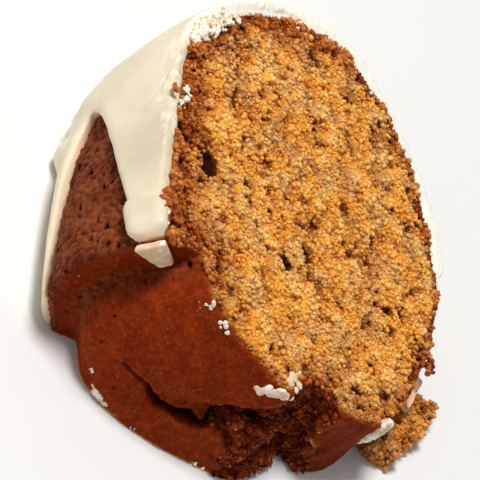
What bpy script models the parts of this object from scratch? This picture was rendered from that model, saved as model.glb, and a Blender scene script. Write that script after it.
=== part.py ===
"""A cut slice of glazed bundt cake, lying on one of its two cut faces.

Metres, +Z up. The ring that the slice comes from lies on its side here: its axis runs along Y with the
glazed crown towards +Y, its outer wall is towards -X and its hole towards +X. Each section of the slice
is an outline in the half-plane of one azimuth, measured up from the lower cut face, which is the
table. An outline point is (inward, height): how far it lies inside the ring's outer radius, and how far
above the level of the lip at the foot of the outer wall.
"""

import math

import bmesh
import bpy
from mathutils import Vector

MM = 0.001

# The ring and the wedge cut out of it.
RING_RADIUS = 120 * MM
SLICE_ANGLE = math.radians(17.4)

# The section: straight outer wall, then three quarters of a superellipse.
WALL_HEIGHT = 49 * MM
WALL_BARREL = 0.8 * MM
CREST_INWARD = 49 * MM
CREST_HEIGHT = 90 * MM
BELLY_INWARD = 83.8 * MM
BELLY_HEIGHT = 46 * MM
TOE_INWARD = 62 * MM
OUTER_POWER = 1.6
INNER_POWER = 1.7
TOE_POWER = 1.6

# One flute of the pan swells the outer wall between the two cuts.
FLUTE_SWELL = 6.5 * MM
FLUTE_ANGLE = math.radians(16.2)
FLUTE_SKEW = 1.25
FLUTE_AT_SHOULDER = 0.5
FLUTE_AT_CREST = 0.1
SHOULDER_DROP = 5 * MM
WALL_LEAN_LOWER = 1.2 * MM

# The baked top, which is the ring's underside: a ledge, a groove and a dome that rose out of the pan.
LEDGE_WIDTH_UPPER = 10.7 * MM
LEDGE_WIDTH_LOWER = 6 * MM
LEDGE_RISE_UPPER = 4.6 * MM
LEDGE_RISE_LOWER = 0.4 * MM
LEDGE_FLUTE_SHARE = 0.9
GROOVE_WIDTH = 1.4 * MM
DOME_END_INWARD = 70 * MM
DOME_DEPTH_UPPER = 11.5 * MM
DOME_DEPTH_LOWER = 16 * MM
DOME_POWER_UPPER = 1.7
DOME_POWER_LOWER = 2.5

# The tear that runs round the dome, and the crack that leaves it.
TEAR_UPPER = (38 * MM, 46 * MM, 50 * MM, 56 * MM)
TEAR_LOWER = (43 * MM, 55.3 * MM, 56 * MM, 59.5 * MM)
TEAR_TOP_UPPER = -2.5 * MM
TEAR_TOP_LOWER = -3 * MM
SHELF_DROP_UPPER = 4.2 * MM
SHELF_DROP_LOWER = 7.3 * MM
CRACK_START = (41 * MM, math.radians(4.5))
CRACK_BEND = (30 * MM, math.radians(12))
CRACK_END = (13 * MM, math.radians(12.6))
CRACK_STEPS = 12
CRACK_HALF_WIDTH = 2.0 * MM
CRACK_DEPTH = 4.2 * MM

# The icing: its thickness, and the two edges that it runs down to.
GAP = 0.3 * MM
GLAZE_THICKNESS_OUTER = 2.4 * MM
GLAZE_THICKNESS_CREST = 3.6 * MM
GLAZE_EDGE_RUN = 5 * MM
GLAZE_EDGE_THICKNESS = 0.9 * MM
ARCH_HEIGHT = 45 * MM
ARCH_TOP_ANGLE = math.radians(10.5)
ARCH_NEAR_SPAN = math.radians(7.8)
ARCH_FAR_SPAN = math.radians(3.4)
ARCH_NEAR_POWER = 1.35
ARCH_FAR_POWER = 2.2
DRIP_FOOT = 1.0 * MM
INNER_EDGE_HEIGHT = 54 * MM
INNER_DRIP_HEIGHT = 12 * MM
INNER_DRIP_ANGLE = math.radians(6)
INNER_DRIP_SPREAD = math.radians(3.4)

# The tip of the near drip, cracked off and bent in under the lip. Each pair is for its top and its end.
TIP_INWARD = (-2.8 * MM, 5.6 * MM)
TIP_HEIGHT = (-2.05 * MM, 1.6 * MM)
TIP_ANGLE = (math.radians(1.5), math.radians(2.6))
TIP_WIDTH = (6.8 * MM, 3.4 * MM)
TIP_THICKNESS = (2.0 * MM, 1.7 * MM)
TIP_ROUNDING = 0.5 * MM

# Loose icing on the baked crust. Each bead: the inward place and the angle below the upper cut of its two
# ends, its half width and its half thickness.
BEADS = {
    "glaze_drop": (71.0 * MM, math.radians(1.2), 66.5 * MM, math.radians(7.4), 1.9 * MM, 1.3 * MM),
    "glaze_smear": (29.5 * MM, math.radians(1.5), 38.5 * MM, math.radians(0.9), 1.3 * MM, 0.6 * MM),
    "glaze_smear_rim": (11.0 * MM, math.radians(16.4), 15.5 * MM, math.radians(16.4), 1.2 * MM, 0.6 * MM),
}
BEAD_SIDES = 12
BEAD_RINGS = 8
BEAD_FLATTENING = 0.4
CRUST_STEP = 0.2 * MM

# The torn corner that hangs out from the foot of the hole's wall, lying on the table.
FLAP_OUTLINE = (
    (70 * MM, 12 * MM),
    (76 * MM, 5.5 * MM),
    (81 * MM, 5 * MM),
    (87 * MM, 14.5 * MM),
    (90.5 * MM, 21 * MM),
    (91.5 * MM, 25.5 * MM),
    (88 * MM, 24.5 * MM),
    (74 * MM, 20 * MM),
)
FLAP_THICKNESS = 5 * MM
FLAP_THINNING = 1.5 * MM

# How finely the sections are cut.
SECTIONS = 28
WALL_STEPS = 9
QUARTER_STEPS = 12
BASE_STEPS = 36
LEDGE_STEPS = 5
OUTER_EDGE_STEPS = 9
INNER_EDGE_START = 7
INNER_EDGE_STEPS = 9
EDGE_CROWDING = 1.4


def mix(low, high, share):
    return low + (high - low) * share


def smooth_step(value):
    value = min(max(value, 0.0), 1.0)
    return value * value * (3 - 2 * value)


def bump(distance, half_width):
    return math.exp(-((distance / half_width) ** 2))


def below_upper_cut(azimuth):
    """The angle down from the upper cut face, which shows, to this azimuth."""
    return SLICE_ANGLE - azimuth


def flute(azimuth):
    """How far the outer wall stands out of the ring's plain radius."""
    turn = below_upper_cut(azimuth) / FLUTE_ANGLE
    return FLUTE_SWELL * math.sin(math.pi * turn**FLUTE_SKEW)


def quarter(centre, reach, power, first, last, steps):
    """Points of a superellipse about the centre, from one angle to another, without the last one."""
    points = []
    for step in range(steps):
        angle = mix(first, last, step / steps)
        across, up = math.cos(angle), math.sin(angle)
        points.append(
            (
                centre[0] + reach[0] * math.copysign(abs(across) ** (2 / power), across),
                centre[1] + reach[1] * math.copysign(abs(up) ** (2 / power), up),
            )
        )
    return points


def groove_inward(azimuth):
    down = below_upper_cut(azimuth) / SLICE_ANGLE
    return mix(LEDGE_WIDTH_UPPER, LEDGE_WIDTH_LOWER, down) - LEDGE_FLUTE_SHARE * flute(azimuth)


def crack_opening(inward, azimuth):
    """How open the crack is at a point of the dome: 1 on its bowed line, fading beside it and at its tip."""
    opening = 0
    for step in range(CRACK_STEPS + 1):
        share = step / CRACK_STEPS
        line = [
            mix(mix(start, bend, share), mix(bend, end, share), share)
            for start, bend, end in zip(CRACK_START, CRACK_BEND, CRACK_END)
        ]
        across = (below_upper_cut(azimuth) - line[1]) * (RING_RADIUS - line[0])
        distance = math.hypot(across, inward - line[0])
        opening = max(opening, smooth_step(3 * (1 - share)) * bump(distance, CRACK_HALF_WIDTH))
    return opening


def base_height(inward, azimuth):
    """The height of the dome's crust, which is below the lip, so negative."""
    down = below_upper_cut(azimuth) / SLICE_ANGLE
    start = groove_inward(azimuth)
    across = 2 * (inward - start) / (DOME_END_INWARD - start) - 1
    power = mix(DOME_POWER_UPPER, DOME_POWER_LOWER, down)
    hump = max(1 - abs(across) ** power, 0) ** (1 / power)
    height = -mix(DOME_DEPTH_UPPER, DOME_DEPTH_LOWER, down) * hump
    height += CRACK_DEPTH * crack_opening(inward, azimuth)
    opens, top, ends, shelf = (mix(upper, lower, down) for upper, lower in zip(TEAR_UPPER, TEAR_LOWER))
    past = smooth_step((inward - opens) / (top - opens))
    height += mix(SHELF_DROP_UPPER, SHELF_DROP_LOWER, down) * past
    torn = past * smooth_step((shelf - inward) / (shelf - ends))
    return mix(height, mix(TEAR_TOP_UPPER, TEAR_TOP_LOWER, down), torn)


def crown_outline(azimuth):
    """The outline from the lip up the outer wall, over the crown and down to the toe of the hole's wall."""
    swell = flute(azimuth)
    shoulder = WALL_HEIGHT - SHOULDER_DROP * max(swell / FLUTE_SWELL, 0)
    lean = WALL_LEAN_LOWER * smooth_step(2 * below_upper_cut(azimuth) / SLICE_ANGLE)
    points = []
    for step in range(WALL_STEPS):
        up = step / WALL_STEPS
        inward = lean * up - WALL_BARREL * math.sin(math.pi * up)
        points.append((inward - mix(1, FLUTE_AT_SHOULDER, up) * swell, shoulder * up))
    outer_reach = (CREST_INWARD, CREST_HEIGHT - shoulder)
    for inward, height in quarter(
        (CREST_INWARD, shoulder), outer_reach, OUTER_POWER, math.pi, math.pi / 2, QUARTER_STEPS
    ):
        to_crest = smooth_step(inward / CREST_INWARD)
        share = mix(FLUTE_AT_SHOULDER, FLUTE_AT_CREST, to_crest)
        points.append((inward - share * swell + (1 - to_crest) * lean, height))
    inner_reach = (BELLY_INWARD - CREST_INWARD, CREST_HEIGHT - BELLY_HEIGHT)
    for inward, height in quarter(
        (CREST_INWARD, BELLY_HEIGHT), inner_reach, INNER_POWER, math.pi / 2, 0, QUARTER_STEPS
    ):
        share = FLUTE_AT_CREST * (1 - smooth_step((inward - CREST_INWARD) / inner_reach[0]))
        points.append((inward - share * swell, height))
    toe_height = base_height(TOE_INWARD, azimuth)
    toe_reach = (BELLY_INWARD - TOE_INWARD, BELLY_HEIGHT - toe_height)
    points += quarter(
        (TOE_INWARD, BELLY_HEIGHT), toe_reach, TOE_POWER, 0, -math.pi / 2, QUARTER_STEPS
    )
    return points


def cake_outline(azimuth):
    """The whole closed outline of the cake at an azimuth."""
    points = crown_outline(azimuth)
    groove = groove_inward(azimuth)
    first = groove + GROOVE_WIDTH
    for step in range(BASE_STEPS):
        inward = mix(TOE_INWARD, first, step / (BASE_STEPS - 1))
        points.append((inward, base_height(inward, azimuth)))
    lip = -flute(azimuth)
    rise = mix(LEDGE_RISE_UPPER, LEDGE_RISE_LOWER, below_upper_cut(azimuth) / SLICE_ANGLE)
    for step in range(LEDGE_STEPS):
        share = 1 - step / LEDGE_STEPS
        points.append((mix(lip, groove, share), rise * math.sin(math.pi / 2 * share)))
    return points


def outer_edge_height(angle):
    """Where the icing ends on the outer wall: two drips with a bare pointed arch between them."""
    near = angle < ARCH_TOP_ANGLE
    span, power = (ARCH_NEAR_SPAN, ARCH_NEAR_POWER) if near else (ARCH_FAR_SPAN, ARCH_FAR_POWER)
    off = min(abs(angle - ARCH_TOP_ANGLE) / span, 1)
    return DRIP_FOOT + (ARCH_HEIGHT - DRIP_FOOT) * (1 - off**power) ** (1 / power)


def inner_edge_height(angle):
    """Where the icing ends on the wall of the hole: one drip."""
    drip = bump(angle - INNER_DRIP_ANGLE, INNER_DRIP_SPREAD)
    return mix(INNER_EDGE_HEIGHT, INNER_DRIP_HEIGHT, drip)


def height_crossing(points, height, start, step):
    """The fractional index where the outline, walked from start, first passes below a height."""
    index = start
    while points[index + step][1] > height:
        index += step
    above, below = points[index][1], points[index + step][1]
    return index + step * (above - height) / (above - below)


def point_at(points, place):
    low = min(int(place), len(points) - 2)
    share = place - low
    return tuple(mix(points[low][axis], points[low + 1][axis], share) for axis in (0, 1))


def normal_at(points, place):
    """The outline's outward normal, which is to the left of the walk from the lip over the crown."""
    before, after = point_at(points, max(place - 1, 0)), point_at(points, min(place + 1, len(points) - 1))
    run = (after[0] - before[0], after[1] - before[1])
    length = math.hypot(*run)
    return (-run[1] / length, run[0] / length)


def glaze_places(first, last):
    """Places along the outline: crowded towards the icing's two edges, and at the cake's own points between."""
    inner = WALL_STEPS + QUARTER_STEPS + INNER_EDGE_START
    outer_shares = [(step / OUTER_EDGE_STEPS) ** EDGE_CROWDING for step in range(OUTER_EDGE_STEPS)]
    inner_shares = [(step / INNER_EDGE_STEPS) ** EDGE_CROWDING for step in range(INNER_EDGE_STEPS + 1)]
    places = [mix(first, WALL_STEPS, share) for share in outer_shares]
    places += range(WALL_STEPS, inner)
    return places + [mix(last, inner, share) for share in reversed(inner_shares)]


def glaze_outline(azimuth):
    """The icing's closed outline: out along its face over the crown, and back along the cake."""
    angle = below_upper_cut(azimuth)
    points = crown_outline(azimuth)
    crest = WALL_STEPS + QUARTER_STEPS
    first = height_crossing(points, outer_edge_height(angle), crest, -1)
    last = height_crossing(points, inner_edge_height(angle), crest, 1)
    places = glaze_places(first, last)
    spots = [point_at(points, place) for place in places]
    lengths = [0.0]
    for before, after in zip(spots, spots[1:]):
        lengths.append(lengths[-1] + math.dist(before, after))
    face, back = [], []
    for place, spot, length in zip(places, spots, lengths):
        normal = normal_at(points, place)
        to_edge = min(length, lengths[-1] - length)
        to_crest = smooth_step(spot[0] / CREST_INWARD)
        body = mix(GLAZE_THICKNESS_OUTER, GLAZE_THICKNESS_CREST, to_crest)
        round_off = math.sqrt(1 - (1 - min(to_edge / GLAZE_EDGE_RUN, 1)) ** 2)
        thickness = mix(GLAZE_EDGE_THICKNESS, body, round_off)
        face.append(tuple(spot[axis] + normal[axis] * (GAP + thickness) for axis in (0, 1)))
        back.append(tuple(spot[axis] + normal[axis] * GAP for axis in (0, 1)))
    return face + back[::-1]


def in_space(inward, height, azimuth):
    """An outline point in the part's axes, before the whole part is centred."""
    radius = RING_RADIUS - inward
    return (-radius * math.cos(azimuth), height, radius * math.sin(azimuth))


def material(name, colour, roughness):
    """A Principled material from a linear colour."""
    made = bpy.data.materials.new(name)
    made.use_nodes = True
    shader = made.node_tree.nodes["Principled BSDF"]
    shader.inputs["Base Color"].default_value = (*colour, 1)
    shader.inputs["Roughness"].default_value = roughness
    shader.inputs["Metallic"].default_value = 0
    return made


def new_object(name, mesh, finish, collection):
    made = bpy.data.objects.new(name, mesh)
    mesh.materials.append(finish)
    collection.objects.link(made)
    return made


def loft(name, outline, finish, collection):
    """A closed body through one outline for each azimuth, flat at both cut faces."""
    shell = bmesh.new()
    loops = []
    for step in range(SECTIONS):
        azimuth = SLICE_ANGLE * step / (SECTIONS - 1)
        loops.append([shell.verts.new(in_space(*point, azimuth)) for point in outline(azimuth)])
    count = len(loops[0])
    for lower, upper in zip(loops, loops[1:]):
        for here in range(count):
            after = (here + 1) % count
            shell.faces.new((lower[here], upper[here], upper[after], lower[after]))
    shell.faces.new(loops[0])
    shell.faces.new(loops[-1][::-1])
    shell.normal_update()
    bmesh.ops.triangulate(shell, faces=[face for face in shell.faces if len(face.verts) > 4])
    bmesh.ops.recalc_face_normals(shell, faces=shell.faces)
    mesh = bpy.data.meshes.new(name)
    shell.to_mesh(mesh)
    shell.free()
    return new_object(name, mesh, finish, collection)


def torn_flap(finish, collection):
    """The torn corner as a slab: its outline on the table, and a top that thins towards the tip."""
    slab = bmesh.new()
    lower = [slab.verts.new(in_space(inward, height, 0)) for inward, height in FLAP_OUTLINE]
    root, tip = FLAP_OUTLINE[0][0], FLAP_OUTLINE[4][0]
    upper = []
    for vertex, (inward, height) in zip(lower, FLAP_OUTLINE):
        top = FLAP_THICKNESS - FLAP_THINNING * (inward - root) / (tip - root)
        upper.append(slab.verts.new((vertex.co.x, vertex.co.y, top)))
    for here in range(len(lower)):
        after = (here + 1) % len(lower)
        slab.faces.new((lower[here], lower[after], upper[after], upper[here]))
    slab.faces.new(lower[::-1])
    slab.faces.new(upper)
    bmesh.ops.recalc_face_normals(slab, faces=slab.faces)
    mesh = bpy.data.meshes.new("torn_flap")
    slab.to_mesh(mesh)
    slab.free()
    made = new_object("torn_flap", mesh, finish, collection)
    made.hide_render = True
    made.display_type = "WIRE"
    return made


def drip_tip(finish, collection):
    """The broken tip of the drip: a tapered shard with rounded edges, tucked in under the lip."""
    bpy.ops.mesh.primitive_cube_add(size=1)
    made = bpy.context.object
    made.name = "drip_tip"
    made.data.name = "drip_tip"
    for vertex in made.data.vertices:
        end = 0.5 - vertex.co.x
        inward, middle, angle, width, thickness = (
            mix(*pair, end) for pair in (TIP_INWARD, TIP_HEIGHT, TIP_ANGLE, TIP_WIDTH, TIP_THICKNESS)
        )
        turn = width * vertex.co.y / RING_RADIUS
        vertex.co = in_space(inward, middle + thickness * vertex.co.z, SLICE_ANGLE - angle + turn)
    made.data.materials.append(finish)
    rounding = made.modifiers.new("rounding", "BEVEL")
    rounding.width = TIP_ROUNDING
    rounding.segments = 2
    for holder in list(made.users_collection):
        holder.objects.unlink(made)
    collection.objects.link(made)
    return made


def crust_height(inward, azimuth):
    """The height of the baked crust, over the dome and round the toe to the hole's wall."""
    if inward <= TOE_INWARD:
        return base_height(inward, azimuth)
    across = (inward - TOE_INWARD) / (BELLY_INWARD - TOE_INWARD)
    drop = BELLY_HEIGHT - base_height(TOE_INWARD, azimuth)
    return BELLY_HEIGHT - drop * (1 - across**TOE_POWER) ** (1 / TOE_POWER)


def crust_place(inward, azimuth):
    """A point of the baked crust, and the way out of it."""
    radius = RING_RADIUS - inward
    here, along, around = (
        Vector(in_space(across, crust_height(across, turned), turned))
        for across, turned in (
            (inward, azimuth),
            (inward + CRUST_STEP, azimuth),
            (inward, azimuth + CRUST_STEP / radius),
        )
    )
    outward = (along - here).cross(around - here).normalized()
    return here, outward if outward.y < 0 else -outward


def bead(name, finish, collection):
    """A blob of icing on the crust: a sphere flattened below, and bent to lie along it."""
    inward, angle, inward_end, angle_end, half_width, half_thickness = BEADS[name]
    middle_inward, middle_angle = (inward + inward_end) / 2, (angle + angle_end) / 2
    radius = RING_RADIUS - middle_inward
    reach_in, reach_round = (inward_end - inward) / 2, (angle_end - angle) / 2 * radius
    half_length = math.hypot(reach_in, reach_round)
    bpy.ops.mesh.primitive_uv_sphere_add(segments=BEAD_SIDES, ring_count=BEAD_RINGS, radius=1)
    made = bpy.context.object
    made.name = name
    made.data.name = name
    for vertex in made.data.vertices:
        long, wide, up = vertex.co
        wide *= half_width / half_length
        across = middle_inward + reach_in * long + reach_round * wide
        around = middle_angle + (reach_round * long - reach_in * wide) / radius
        here, outward = crust_place(across, SLICE_ANGLE - around)
        vertex.co = here + outward * (GAP + half_thickness * (BEAD_FLATTENING + max(up, -BEAD_FLATTENING)))
    made.data.materials.append(finish)
    for holder in list(made.users_collection):
        holder.objects.unlink(made)
    collection.objects.link(made)
    return made


def centre_over_origin(pieces):
    """Parents the pieces to an empty, and moves it so that the middle of their box is over the origin."""
    root = bpy.data.objects.new("slice_root", None)
    pieces[0].users_collection[0].objects.link(root)
    for piece in pieces:
        piece.parent = root
    bpy.context.view_layer.update()
    graph = bpy.context.evaluated_depsgraph_get()
    corners = []
    for piece in pieces:
        if piece.hide_render:
            continue
        shape = piece.evaluated_get(graph)
        corners += [shape.matrix_world @ vertex.co for vertex in shape.data.vertices]
    for axis in (0, 1):
        places = [corner[axis] for corner in corners]
        root.location[axis] = -(min(places) + max(places)) / 2
    bpy.context.view_layer.update()


def clear_scene():
    for thing in list(bpy.data.objects):
        bpy.data.objects.remove(thing)


def main():
    clear_scene()
    collection = bpy.data.collections.new("bundt_cake_slice")
    helpers = bpy.data.collections.new("joined_shapes")
    for made in (collection, helpers):
        bpy.context.scene.collection.children.link(made)
    crumb = material("cake_crumb", (0.55, 0.26, 0.06), 0.85)
    icing = material("icing", (0.83, 0.74, 0.55), 0.35)
    cake = loft("cake", cake_outline, crumb, collection)
    join = cake.modifiers.new("torn_corner", "BOOLEAN")
    join.operation = "UNION"
    join.object = torn_flap(crumb, helpers)
    pieces = [cake, loft("glaze", glaze_outline, icing, collection), drip_tip(icing, collection)]
    pieces += [bead(name, icing, collection) for name in BEADS]
    centre_over_origin(pieces + [join.object])


main()
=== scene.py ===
"""The looks of a bundt cake slice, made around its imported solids.

Metres, +Z up. The slice lies on its lower cut face. The ring that it was cut from lies on its side: its
axis runs along Y, the iced crown is towards +Y, the outer wall towards -X and the hole towards +X.
Places on the cake are given in ring measures: inward from the ring's outer radius, height above the lip
at the foot of the outer wall, and below, the angle down from the upper cut face, which shows.
"""

import itertools
import math

import bmesh
import bpy
import numpy as np
from mathutils import Matrix, Vector
from mathutils.bvhtree import BVHTree


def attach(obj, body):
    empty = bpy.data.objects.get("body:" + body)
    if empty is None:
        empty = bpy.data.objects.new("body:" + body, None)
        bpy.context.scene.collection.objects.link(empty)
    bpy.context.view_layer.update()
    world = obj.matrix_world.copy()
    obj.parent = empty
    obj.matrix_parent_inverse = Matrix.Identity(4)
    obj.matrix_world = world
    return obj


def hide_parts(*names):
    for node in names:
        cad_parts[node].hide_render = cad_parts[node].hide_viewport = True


bl_info = {
    "name": "Bundt Cake Slice",
    "version": (1, 0, 0),
    "blender": (4, 5, 0),
    "location": "3D View > Sidebar > Cake",
    "description": "Gives the solids of a cake slice their crumb, crust and icing",
    "category": "Object",
}

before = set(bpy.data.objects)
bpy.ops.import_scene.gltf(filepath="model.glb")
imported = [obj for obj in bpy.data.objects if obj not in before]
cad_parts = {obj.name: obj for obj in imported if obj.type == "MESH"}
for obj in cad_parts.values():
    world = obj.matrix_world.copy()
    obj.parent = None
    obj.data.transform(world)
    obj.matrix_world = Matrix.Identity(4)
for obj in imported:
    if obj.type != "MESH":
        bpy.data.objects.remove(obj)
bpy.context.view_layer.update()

MM = 0.001
RING_RADIUS = 120 * MM
DOME_RADIUS = RING_RADIUS - 30 * MM
SLICE_ANGLE = math.radians(17.4)
CREST_HEIGHT = 90 * MM
# How far a degree of the ring runs along its outer wall, in mm.
WALL_DEGREE = 2.1
# The least coordinates that a point may have: nothing goes below the surface that the slice lies on.
LEAST_PLACE = (-math.inf, -math.inf, 0)
# Vertices this near to the upper cut face's plane are on it, and its outline goes round its middle, in mm.
FACE_REACH = 0.02
FACE_MIDDLE = (42, 38)

# The ring's axis and the level of its lip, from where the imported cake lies.
_corners = np.array([vertex.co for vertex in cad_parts["cake"].data.vertices])
_highest = _corners[_corners[:, 2].argmax()]
AXIS_X = _highest[0] + _highest[2] / math.tan(SLICE_ANGLE)
LIP_Y = _corners[:, 1].max() - CREST_HEIGHT
UP_FACE = np.array((math.sin(SLICE_ANGLE), 0, math.cos(SLICE_ANGLE)))

# The crack in the dome: (inward, below) points along its upper lip, from the middle of the cut face.
CRACK_LINE = (
    (43, 0.6),
    (43.9, 5.7),
    (38.2, 6.7),
    (33.5, 5.6),
    (31.1, 6.4),
    (31.9, 9.1),
    (31.2, 10.4),
    (29.5, 11.1),
    (24.4, 11.8),
    (21.7, 12.0),
    (16.8, 11.0),
    (11.4, 10.8),
)
CRACK_GAPES = 2.3 * MM
CRACK_DEPTH = 2.8 * MM
# The torn part of the dome, from and to inward places in mm, at angles below the upper cut.
TORN_ANGLES = (0, 3, 5.8, 6.4, 8, 10.4, 11.4, 14, 17.4)
TORN_FROM = (41, 42, 43, 33, 31, 32, 36, 38.5, 40)
TORN_TO = (53, 56, 58, 58.5, 59, 60, 60, 61, 62)
# The largest lobe of the torn part: inward in mm, below in degrees, and its rise in mm.
TORN_LOBE = (48.5, 16.4)
LOBE_RISE = 3.2

# Large pores of the upper cut face: inward, height, half width, half height, depth, all in mm.
LARGE_PORES = (
    (67.3, 30.5, 1.1, 1.5, 3.0),
    (58.4, 3.7, 1.7, 1.0, 3.0),
    (34.3, 19.9, 1.3, 1.7, 2.6),
    (61.3, 44.1, 0.9, 1.6, 2.2),
    (40.2, 62.0, 0.9, 1.6, 2.4),
    (52.1, 77.2, 2.2, 0.7, 1.8),
    (27.8, 18.6, 0.9, 1.2, 1.9),
    (63.8, 32.6, 0.7, 0.9, 1.8),
    (9.8, 28.3, 2.2, 2.6, 2.0),
)
# Pits of the outer wall: below in degrees, then height, half width, half height and depth in mm.
WALL_PITS = ((6.8, 9.2, 0.55, 1.5, 1.5), (7.2, 5.2, 0.7, 0.7, 1.0), (9.6, 20.0, 0.4, 0.9, 0.7))
# A hole falls from its rim to its floor between these shares of its half size.
HOLE_RIM = 1.45
HOLE_FLOOR = 0.85
# Layers of grains: spacing as a share of the grain size, mean radius as a share of the spacing, and seed.
GRAIN_LAYERS = {
    "crumb_grains": (1.0, 0.47, 101),
    "crumb_fine_grains": (0.8, 0.34, 103),
}
DARKEST_GRAIN = 0.04

# Turns of smoothing, and how far a turn draws a point towards the middle of its neighbours.
ICING_ROUNDING = 14
TIP_ROUNDING = 4
BITS_ROUNDING = 3
CRUMBS_ROUNDING = 1
LIP_ROUNDING = 70
DOME_ROUNDING = 320
PULL_A_TURN = 0.6
# Sizes of the even faces of small pieces.
TIP_CELL = 0.2 * MM
LUMP_CELL = 0.16 * MM
FLECK_CELL = 0.15 * MM
# Swells of the icing on the outer wall: below in degrees, then height, radius, flat share of it and rise.
ICING_SWELLS = ((1.5, 6.0, 5.9, 0.66, 1.3), (16.0, 42.0, 5.6, 0.0, 1.9), (12.0, 51.0, 6.0, 0.1, 0.5))
# Creases of the icing: (below, height) points in degrees and mm.
ICING_CREASES = (
    ((3.0, 21.5), (2.0, 22.7), (0.6, 24.3), (-0.2, 27.4)),
    ((2.4, 36.0), (1.2, 39.0), (0.5, 44.0), (-0.2, 46.0)),
)

# The drip's broken tip, turned a little and moved up against the drip that it came from, in mm.
TIP_SHIFT = (0.4, 0.4, 0.5)
TIP_TURN = math.radians(-16)
TIP_TURN_AXIS = (-0.383, -0.661, 0.645)
# Roughness in mm and thinness of the loose icing's pieces.
TIP_FINISH = (0.08, 0.75)
SMEAR_FINISH = (0.32, 0.4)
FLECK_FINISH = (0.22, 0.1)
# Flecks of icing on the baked crust: inward, below, and half size, in mm and degrees.
FLECKS = (
    (14.6, 0.6, 0.8),
    (13.6, 1.3, 0.5),
    (18.9, 0.3, 0.8),
    (20.0, 0.5, 0.5),
    (-3.2, 9.9, 0.4),
    (9.0, 14.8, 0.6),
    (21.6, 17.0, 0.4),
    (36.4, 17.0, 0.5),
    (38.5, 17.0, 0.5),
)
FLECK_SEED = 107
BLOBS_A_FLECK = 7
BLOB_FLATNESS = 0.6
# Loose icing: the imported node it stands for, its flatness, and its blobs by inward, height if it isn't the
# dome's, below, and radius, in mm and degrees.
LOOSE_ICING = {
    "glaze_smear": (
        0.38,
        (
            (32.3, None, 2.2, 0.8), (33.6, None, 2.1, 1.1), (34.6, None, 1.3, 1.3),
            (35.9, None, 0.9, 1.3), (37.2, None, 0.3, 1.2), (38.3, -7.8, -0.5, 1.3),
            (39.2, -5.9, -0.6, 1.4), (40.3, -4.2, -0.7, 1.0), (40.7, -6.4, -0.5, 1.1),
            (40.2, -8.6, -0.2, 0.9), (41.5, -10.9, 0.5, 0.6),
        ),
    ),
    "glaze_smear_rim": (
        0.4,
        (
            (11.2, None, 16.3, 0.7), (12.3, None, 16.6, 0.9), (13.6, None, 16.8, 1.0),
            (14.9, None, 16.9, 0.8),
        ),
    ),
    "glaze_drop": (
        0.6,
        (
            (68.4, None, 0.6, 2.2), (68.4, None, 1.9, 2.6), (68.5, None, 3.3, 2.5),
            (68.7, None, 5.0, 2.1), (69.2, None, 6.9, 1.6), (69.8, None, 8.8, 1.1),
            (70.3, None, 10.6, 0.8),
        ),
    ),
}
# Heaps of small bits of icing, and then of crumb: inward, height, below, spread, count and radius, in mm
# and degrees.
ICING_BITS = (
    (0.2, 39.6, -0.3, 0.9, 12, 0.36),
    (0.2, 37.2, -0.3, 0.8, 10, 0.34),
    (-0.8, 35.2, -0.3, 0.9, 8, 0.30),
    (-1.6, 7.4, -0.3, 1.0, 14, 0.40),
    (-1.9, 5.4, -0.2, 0.9, 12, 0.40),
    (-1.7, 3.8, -0.2, 0.7, 8, 0.34),
    (1.0, 54.6, -0.3, 1.4, 40, 0.40),
    (2.3, 57.0, -0.3, 1.7, 60, 0.42),
    (3.8, 59.6, -0.3, 1.8, 70, 0.42),
    (5.4, 62.2, -0.3, 1.8, 70, 0.42),
    (7.3, 64.8, -0.3, 1.7, 60, 0.42),
    (9.8, 67.6, -0.3, 1.4, 45, 0.40),
    (12.6, 70.2, -0.3, 1.0, 30, 0.38),
    (31.6, 84.0, -0.3, 1.5, 10, 0.32),
    (57.5, 85.0, -0.3, 1.1, 8, 0.28),
)
LOOSE_CRUMBS = (
    (-3.6, 36.8, -0.6, 0.7, 9, 0.36),
    (-1.4, 11.2, -0.3, 1.6, 26, 0.55),
    (-0.4, 8.8, -0.4, 1.9, 32, 0.60),
    (1.0, 6.4, -0.4, 1.9, 32, 0.60),
    (2.6, 4.4, -0.3, 1.8, 26, 0.55),
    (81.0, 26.0, -0.3, 1.5, 16, 0.55),
    (82.0, 27.0, -0.2, 1.1, 9, 0.42),
)

# The lights: azimuth and elevation in degrees, distance, size across and colour.
LIGHTS = {
    "key": (-118, 74, 0.9, 0.28, (1, 0.985, 0.95)),
    "front": (-60, 28, 0.9, 0.4, (1, 0.98, 0.95)),
}
# The camera's azimuth, elevation and roll in degrees, and the place that it looks at.
VIEW_AZIMUTH = -30.07
VIEW_ELEVATION = 40.16
VIEW_ROLL = 46.94
VIEW_TARGET = Vector((AXIS_X - 95.18 * MM, LIP_Y + 15.64 * MM, 29.81 * MM))
FLOOR_SIZE = 6
FLOOR_GAP = 0.05 * MM


# Sums -----------------------------------------------------


def mix(low, high, share):
    return low + (high - low) * share


def smooth_step(low, high, value):
    """0 up to low, 1 from high, and smooth between. low may be the larger one."""
    share = np.clip((value - low) / (high - low), 0, 1)
    return share * share * (3 - 2 * share)


def step_mm(low, high, value):
    """smooth_step between two lengths in mm."""
    return smooth_step(low * MM, high * MM, value)


def scrambled(number):
    number = number * np.uint32(747796405) + np.uint32(2891336453)
    number = ((number >> ((number >> np.uint32(28)) + np.uint32(4))) ^ number) * np.uint32(277803737)
    return (number >> np.uint32(22)) ^ number


def cell_draws(cells, seed, count):
    """Repeatable numbers from 0 to 1 for whole-numbered cells: an array of count rows."""
    key = np.full(len(cells), seed, np.uint32)
    for axis in range(3):
        key = scrambled(key ^ (cells[:, axis] & 0xFFFFFFFF).astype(np.uint32))
    return [scrambled(key + np.uint32(draw)) / 4294967296 for draw in range(count)]


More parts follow.
